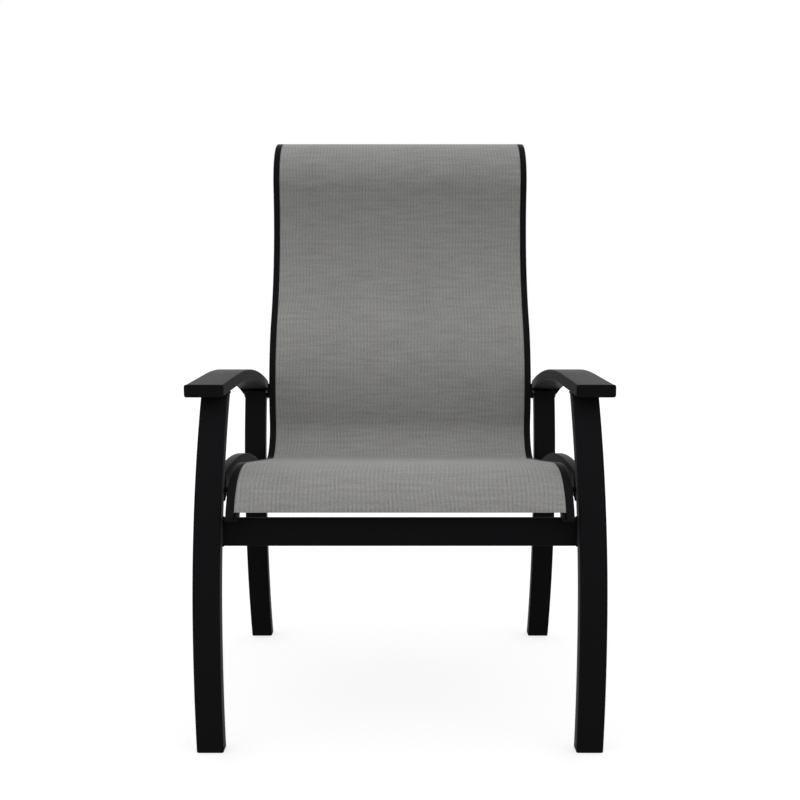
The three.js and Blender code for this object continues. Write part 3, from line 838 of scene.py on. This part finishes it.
@dataclass
class Legs:
    """Bowed tubes, with a glide under each, the arms on the front ones and a cap on the rear ones."""

    sizes: Sizes
    arms: Arms
    front_round: float = 3.0
    back_round: float = 7.0
    glide_height: float = 8.0
    front_reach: float = 562.0
    step: float = 6.0
    cap_ease: float = 1.0
    glide_ease: float = 1.5
    glide_ease_height: float = 2.4
    line_height: float = 0.6
    line_inset: float = 0.5

    def outline(self) -> np.ndarray:
        """The legs' outer section, as points (u, v) with v 0 on the front face."""
        s = self.sizes
        return rounded_box(s.leg_inner, -s.leg_depth, s.leg_outer, 0.0, self.back_round, self.front_round)

    def level(self, bow: Bow, section: np.ndarray, heights: np.ndarray) -> np.ndarray:
        """Level sections up a bow.

        Args:
            bow: the bow.
            section: one section, or one for each height.
            heights: the heights.

        Returns:
            Rings of points.
        """
        stack = np.broadcast_to(section, (len(heights), *section.shape[-2:]))
        z = np.broadcast_to(heights[:, None], stack.shape[:2])
        return np.stack([stack[..., 0], bow.face(z, -stack[..., 1]), z], axis=-1)

    def front(self) -> np.ndarray:
        """A front leg, cut parallel to the underside of the arm.

        Returns:
            Rings of points.
        """
        s, bow = self.sizes, self.sizes.front_bow
        heights = np.arange(self.glide_height + s.seam, self.front_reach, self.step)
        rings = self.level(bow, self.outline(), heights)
        rings[..., 2] = np.minimum(rings[..., 2], self.arms.underside(rings[..., 1]) - s.seam)
        rings[..., 1] = bow.face(rings[..., 2], -self.outline()[:, 1])
        return rings

    def rear(self) -> np.ndarray:
        """A rear leg, cut level.

        Returns:
            Rings of points.
        """
        s = self.sizes
        top = s.rear_leg_top - s.tube_cap - s.seam
        heights = np.append(np.arange(self.glide_height + s.seam, top, self.step), top)
        return self.level(s.rear_bow, self.outline(), heights)

    def cap(self) -> np.ndarray:
        """The cap of a rear leg, with an eased rim.

        Returns:
            Rings of points.
        """
        top = self.sizes.rear_leg_top
        heights, insets = eased_end(top - self.sizes.tube_cap, top, self.cap_ease, steps=5)
        return self.level(self.sizes.rear_bow, shrunk(self.outline(), insets), heights)

    def glide(self, bow: Bow) -> np.ndarray:
        """A glide with an eased foot and a fine shadow line under the leg.

        Args:
            bow: the leg's bow.

        Returns:
            Rings of points.
        """
        angles = np.radians(np.linspace(90, 0, CORNER_POINTS))
        heights = np.concatenate([
            self.glide_ease_height * (1 - np.sin(angles)),
            [self.glide_height - self.line_height, self.glide_height]])
        insets = np.concatenate([self.glide_ease * (1 - np.cos(angles)), [0.0, self.line_inset]])
        return self.level(bow, shrunk(self.outline(), insets), heights)

    def build(self, shop: Workshop) -> None:
        """Make the legs, caps and glides.

        Args:
            shop: makes the pieces.
        """
        shop.pair("front_leg", self.front(), Slot.FRAME)
        shop.pair("rear_leg", self.rear(), Slot.FRAME)
        shop.pair("rear_leg_cap", self.cap(), Slot.NYLON)
        shop.pair("front_glide", self.glide(self.sizes.front_bow), Slot.NYLON)
        shop.pair("rear_glide", self.glide(self.sizes.rear_bow), Slot.NYLON)


@dataclass
class Rails:
    """Side rails from front to rear leg and crossbars from left to right."""

    sizes: Sizes
    side_width: float = 18.0
    side_height: float = 37.0
    side_round: float = 3.0
    side_radius: float = 832.0
    side_overrun: float = 15.0
    side_bite: float = 0.8
    side_stations: int = 110
    front_top: float = 427.2
    rear_top: float = 368.1
    bar_height: float = 43.4
    bar_depth: float = 14.0
    bar_round: float = 2.5
    bar_bite: float = 0.4
    bar_stations: int = 60
    front_bar_top: float = 364.8
    front_bar_setback: float = 16.4
    rear_bar_top: float = 344.5

    def side_run(self) -> Run:
        """The side rails' top line: one arc through a point on each leg, run on a little past both.

        Returns:
            The run.
        """
        s, rear = self.sizes, self.sizes.rear_bow
        start = np.array([float(s.front_bow.face(self.front_top, s.leg_depth)), self.front_top])
        stop = np.array([float(rear.face(self.rear_top)), self.rear_top])
        chord = stop - start
        pitch = math.degrees(math.atan2(chord[1], chord[0]))
        half = math.degrees(math.asin(np.hypot(*chord) / (2 * self.side_radius)))
        extra = math.degrees(self.side_overrun / self.side_radius)
        turn = math.radians(pitch + half)
        centre = start + self.side_radius * np.array([math.sin(turn), -math.cos(turn)])
        first = math.radians(pitch + half + extra)
        place = centre + self.side_radius * np.array([-math.sin(first), math.cos(first)])
        run = Run.trace(pitch + half + extra, (Turn(self.side_radius, pitch - half - extra),))
        return run.moved(float(place[0]), float(place[1]))

    def side(self) -> np.ndarray:
        """A side rail, with its ends just inside the legs' walls.

        Returns:
            Rings of points.
        """
        s, run, edge = self.sizes, self.side_run(), self.side_round
        section = rounded_box(s.leg_inner, -self.side_height, s.leg_inner + self.side_width, 0.0, edge, edge)
        rings = run.rings(section, np.linspace(0, run.length[-1], self.side_stations))
        low = s.front_bow.face(rings[..., 2], s.leg_depth) - self.side_bite
        rings[..., 1] = np.clip(rings[..., 1], low, s.rear_bow.face(rings[..., 2]) + self.side_bite)
        return rings

    def bar(self, front: float, top: float) -> np.ndarray:
        """A crossbar.

        Args:
            front: y of its front face.
            top: z of its top.

        Returns:
            Rings of points.
        """
        edge, reach = self.bar_round, self.sizes.leg_inner + self.bar_bite
        box = rounded_box(front, top - self.bar_height, front + self.bar_depth, top, edge, edge)
        x = np.linspace(-reach, reach, self.bar_stations)
        rings = np.empty((len(x), len(box), 3))
        rings[..., 0], rings[..., 1:] = x[:, None], box
        return rings

    def bars(self) -> dict[str, np.ndarray]:
        """Both crossbars.

        Returns:
            Name to rings of points.
        """
        s = self.sizes
        front = float(s.front_bow.face(self.front_bar_top)) + self.front_bar_setback
        rear = float(s.rear_bow.face(self.rear_bar_top)) + (s.leg_depth - self.bar_depth) / 2
        return {"front_crossbar": self.bar(front, self.front_bar_top),
                "rear_crossbar": self.bar(rear, self.rear_bar_top)}

    def build(self, shop: Workshop) -> None:
        """Make the rails and crossbars.

        Args:
            shop: makes the pieces.
        """
        shop.pair("side_rail", self.side(), Slot.FRAME)
        for name, rings in self.bars().items():
            shop.shell(name, rings, Slot.FRAME)


@dataclass
class SlingFrame:
    """The two extruded rails that follow the sling."""

    sizes: Sizes
    land_round: float = 3.0
    back_round: float = 2.0
    land_width: float = 12.4
    slot_width: float = 2.2
    groove_radius: float = 3.3
    groove_roof: float = 1.6
    ledge_drop: float = 1.3
    lip: float = 0.35
    cap_thickness: float = 3.0
    cap_ease: float = 1.2
    foot: float = 365.1
    step: float = 3.5
    end_margin: float = 2.0

    def __post_init__(self) -> None:
        """Work out the sling's line and where the slot and groove lie."""
        self.run = self.sizes.sling
        self.end = float(self.run.length[-1])
        self.slot_outer = self.sizes.rail_outer - self.land_width
        self.slot_inner = self.slot_outer - self.slot_width
        self.slot_middle = (self.slot_outer + self.slot_inner) / 2
        self.groove_depth = self.ledge_drop + self.groove_roof + self.groove_radius

    def back(self) -> np.ndarray:
        """The rail's outside from its ledge down, round its back and up to its land.

        Returns:
            Points (u, v).
        """
        s, lip, turn = self.sizes, self.lip, self.back_round
        return np.vstack([
            arc(s.rail_inner + lip, -self.ledge_drop - lip, lip, 90, 180, steps=3),
            arc(s.rail_inner + turn, turn - s.rail_depth, turn, 180, 270),
            arc(s.rail_outer - turn, turn - s.rail_depth, turn, 270, 360),
            arc(s.rail_outer - self.land_round, -self.land_round, self.land_round, 0, 90, steps=10),
            arc(self.slot_outer + lip, -lip, lip, 90, 180, steps=4),
        ])

    def section(self) -> np.ndarray:
        """The rail's section with its groove.

        Returns:
            Points (u, v).
        """
        opening = math.degrees(math.asin(self.slot_width / (2 * self.groove_radius)))
        groove = arc(
            self.slot_middle, -self.groove_depth, self.groove_radius, 90 - opening, opening - 270, steps=24)
        ledge = arc(self.slot_inner - self.lip, -self.ledge_drop - self.lip, self.lip, 0, 90, steps=3)
        return np.vstack([self.back(), groove, ledge])

    def rail(self) -> np.ndarray:
        """A rail, cut level at its foot: points below that level slide up their own lines to it.

        Returns:
            Rings of points.
        """
        stop = self.end - self.cap_thickness - self.sizes.seam
        runs = np.append(np.arange(0.0, stop - self.end_margin, self.step), stop)
        rings = self.run.rings(self.section(), runs)
        floor = self.foot + self.cap_thickness + self.sizes.seam
        low = rings[..., 2] < floor
        first, line = low.argmin(axis=0), np.arange(rings.shape[1])
        above, below = rings[first, line], rings[first - 1, line]
        share = (floor - below[:, 2]) / (above[:, 2] - below[:, 2])
        return np.where(low[..., None], below + (above - below) * share[:, None], rings)

    def head_cap(self) -> np.ndarray:
        """The cap at a rail's head, with an eased rim.

        Returns:
            Rings of points.
        """
        outline = np.vstack([self.back(), [[self.slot_inner, -self.ledge_drop]]])
        runs, insets = eased_end(self.end - self.cap_thickness, self.end, self.cap_ease, steps=5)
        return self.run.rings(shrunk(outline, insets), runs)

    def build(self, shop: Workshop) -> None:
        """Make the rails and their head caps."""
        shop.pair("sling_rail", self.rail(), Slot.FRAME, merged=True)
        shop.pair("rail_head_cap", self.head_cap(), Slot.NYLON)


@dataclass
class Spreaders:
    """Bowed round tubes between the sling rails."""

    frame: SlingFrame
    radius: float = 8.0
    stub: float = 34.0
    bite: float = 0.1
    back_rise: float = 72.0
    top_drop: float = 74.0
    seat: tuple = (13.5, 26.0)
    back: tuple = (14.0, 30.0)
    top: tuple = (14.0, 24.0)
    stations: int = 90
    sides: int = 28

    def tube(self, run: float, depth: float, bow: float) -> np.ndarray:
        """A tube with straight stubs and a bow away from the sling, half a cosine wave to each side.

        Args:
            run: distance along the sling.
            depth: distance below its face.
            bow: how far the middle stands back.

        Returns:
            Rings of points.
        """
        y, z, heading = self.frame.run.at(run, depth)
        reach = self.frame.sizes.rail_inner - self.bite
        free = reach - self.stub
        x = np.concatenate([[-reach], np.linspace(-free, free, self.stations), [reach]])
        share = np.where(np.abs(x) >= free, 0.0, (1 + np.cos(np.pi * x / free)) / 2)
        turn = math.radians(float(heading))
        back = np.array([0.0, math.sin(turn), -math.cos(turn)])
        straight = np.stack([x, np.full(x.shape, y), np.full(x.shape, z)], axis=-1)
        centre = straight + bow * share[:, None] * back
        slope = np.gradient(centre, axis=0)
        slope /= np.linalg.norm(slope, axis=1, keepdims=True)
        level = np.cross(back, [1.0, 0.0, 0.0])
        across = np.cross(slope, level)
        angle = np.linspace(0, 2 * np.pi, self.sides, endpoint=False)[None, :, None]
        return centre[:, None] + self.radius * (np.cos(angle) * level + np.sin(angle) * across[:, None])

    def build(self, shop: Workshop) -> None:
        """Make the bars.

        Args:
            shop: makes the pieces.
        """
        sizes = self.frame.sizes
        plan = {
            "seat_spreader": (sizes.front_bolt_run, *self.seat),
            "back_spreader": (sizes.rear_bolt_run + self.back_rise, *self.back),
            "top_spreader": (self.frame.end - self.top_drop, *self.top),
        }
        for name, (run, depth, bow) in plan.items():
            shop.shell(name, self.tube(run, depth, bow), Slot.FRAME)


@dataclass
class SlingCloth:
    """One panel of mesh, its two long hems looped round the splines in the rails' grooves."""

    frame: SlingFrame
    thickness: float = 1.0
    toe: float = 41.0
    head: float = 9.0
    bend: float = 1.4
    hem_radius: float = 2.4
    hem_turn: float = 318.0
    step: float = 5.0
    panel_stations: int = 46

    def middle_line(self) -> np.ndarray:
        """The cloth's middle line from hem to hem: over the slot's lip and round the hem on each side.

        Returns:
            Points (u, v).
        """
        f, half = self.frame, self.thickness / 2
        fold = arc(f.slot_middle - self.bend, -half - self.bend, self.bend, 90, 0)
        loop = arc(f.slot_middle, -f.groove_depth, self.hem_radius, 90, 90 - self.hem_turn, steps=26)
        edge = np.vstack([fold, loop])
        flat = np.linspace(-edge[0, 0], edge[0, 0], self.panel_stations)[1:-1]
        panel = np.column_stack([flat, np.full(flat.shape, edge[0, 1])])
        return np.vstack([(edge * [-1, 1])[::-1], panel, edge])

    def build(self, shop: Workshop) -> None:
        """Args:
            shop: makes the piece.
        """
        line = self.middle_line()
        tangent = np.gradient(line, axis=0)
        tangent /= np.linalg.norm(tangent, axis=1, keepdims=True)
        normal = np.column_stack([-tangent[:, 1], tangent[:, 0]]) * self.thickness / 2
        section = np.vstack([line + normal, (line - normal)[::-1]])
        first, last = self.toe, self.frame.end - self.head
        runs = np.linspace(first, last, round((last - first) / self.step))
        cloth = shop.loft("sling_cloth", self.frame.run.rings(section, runs))
        across = np.concatenate([[0.0], np.cumsum(np.linalg.norm(np.diff(line, axis=0), axis=1))])
        self.unwrap(cloth, np.concatenate([across, across[::-1]]), runs)
        shop.dress(cloth, Slot.SLING, "sling_fabric")
        rests = [side.node("sling_rail") + "_shell" for side in Side]

    def unwrap(self, cloth: Object, across: np.ndarray, runs: np.ndarray) -> None:
        """Write the cloth's own coordinates, in metres.

        Args:
            cloth: the cloth.
            across: distance across the cloth for each point of the section.
            runs: distance along it for each ring.
        """
        mesh, size = cloth.data, len(across)
        corner = np.empty(len(mesh.loops), dtype=np.int32)
        mesh.loops.foreach_get("vertex_index", corner)
        uv = np.column_stack([across[corner % size], runs[corner // size]]) * MILLIMETRE
        mesh.uv_layers.new(name="cloth").data.foreach_set("uv", uv.astype(np.float32).ravel())


@dataclass
class Fasteners:
    """Button-headed bolts through the legs, with a hexagonal socket."""

    sizes: Sizes
    head_radius: float = 5.2
    head_height: float = 2.6
    stand_off: float = 0.1
    foot_inset: float = 0.2
    foot_height: float = 0.25
    rim_height: float = 0.9
    socket: float = 2.0
    socket_margin: float = 1.35
    socket_depth: float = 1.5
    dome_rings: int = 12
    sides: int = 48

    def head(self, y: float, z: float) -> np.ndarray:
        """A bolt's head on the left: rings round its axis along x, the last two pressed to a hexagon.

        Args:
            y: y of its axis.
            z: z of its axis.

        Returns:
            Rings of points.
        """
        rise = np.radians(np.linspace(0, 90, self.dome_rings))
        crown = self.head_radius - self.socket * self.socket_margin
        dome = self.head_radius - crown * (1 - np.cos(rise))
        turned = np.concatenate([[self.head_radius - self.foot_inset, self.head_radius], dome])
        out = np.concatenate([
            [0.0, self.foot_height], self.rim_height + (self.head_height - self.rim_height) * np.sin(rise),
            [self.head_height, self.head_height - self.socket_depth]])
        angle = np.linspace(0, 2 * np.pi, self.sides, endpoint=False)
        flat = self.socket / np.cos((angle % (np.pi / 3)) - np.pi / 6)
        radius = np.vstack([np.tile(turned[:, None], self.sides), flat, flat])
        x = np.broadcast_to(self.sizes.leg_outer + self.stand_off + out[:, None], radius.shape)
        return np.stack([x, y + radius * np.cos(angle), z + radius * np.sin(angle)], axis=-1)

    def build(self, shop: Workshop) -> None:
        """Make the visible heads.

        Args:
            shop: makes the pieces.
        """
        s = self.sizes
        front = s.sling.at(s.front_bolt_run, s.front_bolt_depth)[:2]
        rear = s.sling.at(s.rear_bolt_run, s.rear_bolt_depth)[:2]
        shop.pair("front_bolt", self.head(*front), Slot.FASTENER, "_head")
        shop.pair("rear_bolt", self.head(*rear), Slot.FASTENER, "_head")


@dataclass
class Welds:
    """Thin rippled beads where the tubes meet."""

    rails: Rails
    legs: Legs
    bite: float = 0.2
    radius: float = 1.3
    ripple: float = 0.35
    pitch: float = 2.6
    step: float = 0.65
    sides: int = 10

    def loops(self) -> dict[str, np.ndarray]:
        """The beads' paths on the left side: flat loops round a rounded box.

        Returns:
            Name to path.
        """
        rail, wall = self.rails.side(), self.rails.sizes.leg_inner - self.bite
        ends = {name + "_weld": rings[-1] for name, rings in self.rails.bars().items()}
        return {name: ring * [0, 1, 1] + [wall, 0, 0] for name, ring in ends.items()} | {
            "side_rail_front_weld": rail[0],
            "side_rail_rear_weld": rail[-1],
            "arm_front_weld": self.legs.front()[-1],
        }

    def bead(self, loop: np.ndarray) -> np.ndarray:
        """Rings of a bead, its radius swelling by a root curve once per pitch, as a moving torch leaves it.

        Args:
            loop: points along the bead, a closed flat loop.

        Returns:
            Rings of points round the loop.
        """
        normal = np.cross(loop[CORNER_POINTS] - loop[0], loop[2 * CORNER_POINTS] - loop[0])
        normal = normal / np.linalg.norm(normal)
        path = resampled(loop, self.step)
        tangent = np.roll(path, -1, axis=0) - np.roll(path, 1, axis=0)
        tangent /= np.linalg.norm(tangent, axis=1, keepdims=True)
        across = np.cross(tangent, normal)
        steps = np.linalg.norm(np.roll(path, -1, axis=0) - path, axis=1)
        run = np.concatenate([[0.0], np.cumsum(steps)[:-1]])
        size = self.radius + self.ripple * (np.sqrt((run / self.pitch) % 1.0) - 0.5)
        angle = np.linspace(0, 2 * np.pi, self.sides, endpoint=False)[None, :, None]
        spoke = np.cos(angle) * normal + np.sin(angle) * across[:, None, :]
        return path[:, None, :] + size[:, None, None] * spoke

    def build(self, shop: Workshop) -> None:
        """Make the beads."""
        for name, loop in self.loops().items():
            shop.pair(name, self.bead(loop), Slot.FRAME, "", closed=True)


# Studio


@dataclass(frozen=True)
class Studio:
    """A white studio: a soft sky with two bright sides, and a floor that keeps the chair's shadow."""

    lens: float = 46.0
    sensor: float = 36.0
    far: float = 100.0
    camera_height: float = 662.4
    camera_distance: float = 1537.0
    toe_offset: float = 17.0
    pitch: float = 4.224
    level: float = 0.47
    ends: float = 0.19
    sides: float = 0.66
    lean: float = 0.55
    crown: float = 0.36
    crown_power: float = 3.0
    floor_shade: float = 0.20
    seen_shade: float = 0.40
    seen_glow: float = 0.715
    floor_size: float = 60.0

    def camera(self, shift: float) -> None:
        """Stand the camera where the photograph was taken.

        Args:
            shift: y of the front legs' foremost point, in metres.
        """
        data = bpy.data.cameras.new("camera")
        data.lens, data.sensor_width, data.clip_end = self.lens, self.sensor, self.far
        camera = bpy.data.objects.new("camera", data)
        ahead = (self.toe_offset - self.camera_distance) * MILLIMETRE
        camera.location = (0.0, shift + ahead, self.camera_height * MILLIMETRE)
        camera.rotation_euler = (math.radians(90.0 - self.pitch), 0.0, 0.0)
        bpy.context.scene.collection.objects.link(camera)
        bpy.context.scene.camera = camera

    def world(self) -> None:
        """A soft sky that is plain white where it is seen.

        Its level in the direction (x, y, z) is: level + ends |y| + |x| (sides - lean y) + crown z^crown_power
        above the horizon, so the chair is lit mostly by two large soft sources ahead of it on both sides.
        """
        world = bpy.data.worlds.new("studio")
        bpy.context.scene.world = world
        graph = Graph(world)
        graph.tree.nodes.clear()
        way = graph.node("ShaderNodeTexCoord").outputs["Generated"]
        x, y, z = graph.node("ShaderNodeSeparateXYZ", {"Vector": way}).outputs
        beside = graph.math("MULTIPLY_ADD", y, -self.lean, self.sides)
        level = graph.math("MULTIPLY_ADD", graph.math("ABSOLUTE", y), self.ends, self.level)
        level = graph.math("MULTIPLY_ADD", graph.math("ABSOLUTE", x), beside, level)
        above = graph.math("POWER", graph.math("MAXIMUM", z, 0.0), self.crown_power)
        level = graph.math("MULTIPLY_ADD", above, self.crown, level)
        sky = graph.node("ShaderNodeBackground", {"Color": WHITE, "Strength": level})
        white = graph.node("ShaderNodeBackground", {"Color": WHITE})
        self.by_ray(graph, sky.outputs[0], white.outputs[0], "ShaderNodeOutputWorld")

    def by_ray(self, graph: Graph, lit: NodeSocket, seen: NodeSocket, output: str) -> None:
        """Show one shader to the camera and in reflections, and light the chair with another.

        Args:
            graph: the node tree.
            lit: the shader that lights the chair.
            seen: the shader that is seen.
            output: the kind of the tree's output node.
        """
        rays = graph.node("ShaderNodeLightPath").outputs
        share = rays["Is Camera Ray"]
        for kind in ("Is Glossy Ray", "Is Transmission Ray"):
            share = graph.math("MAXIMUM", share, rays[kind])
        mix = graph.node("ShaderNodeMixShader", {0: share, 1: lit, 2: seen})
        graph.node(output, {"Surface": mix.outputs[0]})

    def floor(self) -> None:
        """A pale floor that shows only the faintest shadow where it is seen."""
        half = self.floor_size / 2
        mesh = bpy.data.meshes.new("floor")
        corners = [(-half, -half, 0), (half, -half, 0), (half, half, 0), (-half, half, 0)]
        mesh.from_pydata(corners, [], [(0, 1, 2, 3)])
        plane = bpy.data.objects.new("floor", mesh)
        bpy.context.scene.collection.objects.link(plane)
        graph = Graph.finish("floor")
        graph.tree.nodes.clear()
        dim, pale = (graph.node("ShaderNodeBsdfDiffuse", {"Color": (shade, shade, shade, 1.0)}).outputs[0]
                     for shade in (self.floor_shade, self.seen_shade))
        glow = graph.node("ShaderNodeEmission", {"Strength": self.seen_glow}).outputs[0]
        seen = graph.node("ShaderNodeAddShader", {0: pale, 1: glow}).outputs[0]
        self.by_ray(graph, dim, seen, "ShaderNodeOutputMaterial")
        mesh.materials.append(graph.owner)

    def build(self, shift: float) -> None:
        """Set the whole studio up.

        Args:
            shift: y of the front legs' foremost point, in metres.
        """
        self.camera(shift)
        self.world()
        self.floor()
        bpy.context.scene.view_settings.view_transform = "Standard"
        log.info("studio ready")


def dress_solids(finishes: dict[Slot, Material]) -> None:
    """Give the solids that stay on show their finishes.

    Args:
        finishes: slot to finish.
    """
    for part in frame["record"]["subparts"]:
        obj = bpy.data.objects.get(part["node"])
        if obj is None:
            continue
        finish = finishes[Slot(part["material_slot"])]
        if not obj.material_slots:
            obj.data.materials.append(finish)
        for holder in obj.material_slots:
            holder.material = finish


def main() -> None:
    """Dress the chair."""
    logging.basicConfig(level=logging.INFO, format="%(name)s: %(message)s")
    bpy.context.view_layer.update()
    shift = float(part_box("front_leg_left")[0][1])
    Studio().build(shift)
    finishes = {
        Slot.FRAME: PowderCoat().build(), Slot.NYLON: Moulded().build(),
        Slot.FASTENER: DarkSteel().build(), Slot.SLING: WovenSling().build(),
    }
    dress_solids(finishes)
    shop, sizes = Workshop(shift, finishes), Sizes()
    arms, rails, sling_frame = Arms(sizes), Rails(sizes), SlingFrame(sizes)
    legs = Legs(sizes, arms)
    for group in (legs, arms, rails, sling_frame, Spreaders(sling_frame), SlingCloth(sling_frame),
                  Fasteners(sizes), Welds(rails, legs)):
        group.build(shop)
    log.info("%d pieces", len(shop.made))


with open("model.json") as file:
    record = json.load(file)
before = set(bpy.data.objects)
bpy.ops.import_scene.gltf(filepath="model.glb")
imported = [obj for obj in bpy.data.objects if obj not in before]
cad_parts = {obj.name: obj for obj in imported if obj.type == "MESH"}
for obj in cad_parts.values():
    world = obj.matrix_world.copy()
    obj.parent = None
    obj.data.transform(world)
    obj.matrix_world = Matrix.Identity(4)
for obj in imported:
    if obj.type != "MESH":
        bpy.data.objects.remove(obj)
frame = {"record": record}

if __name__ == "__main__":
    main()
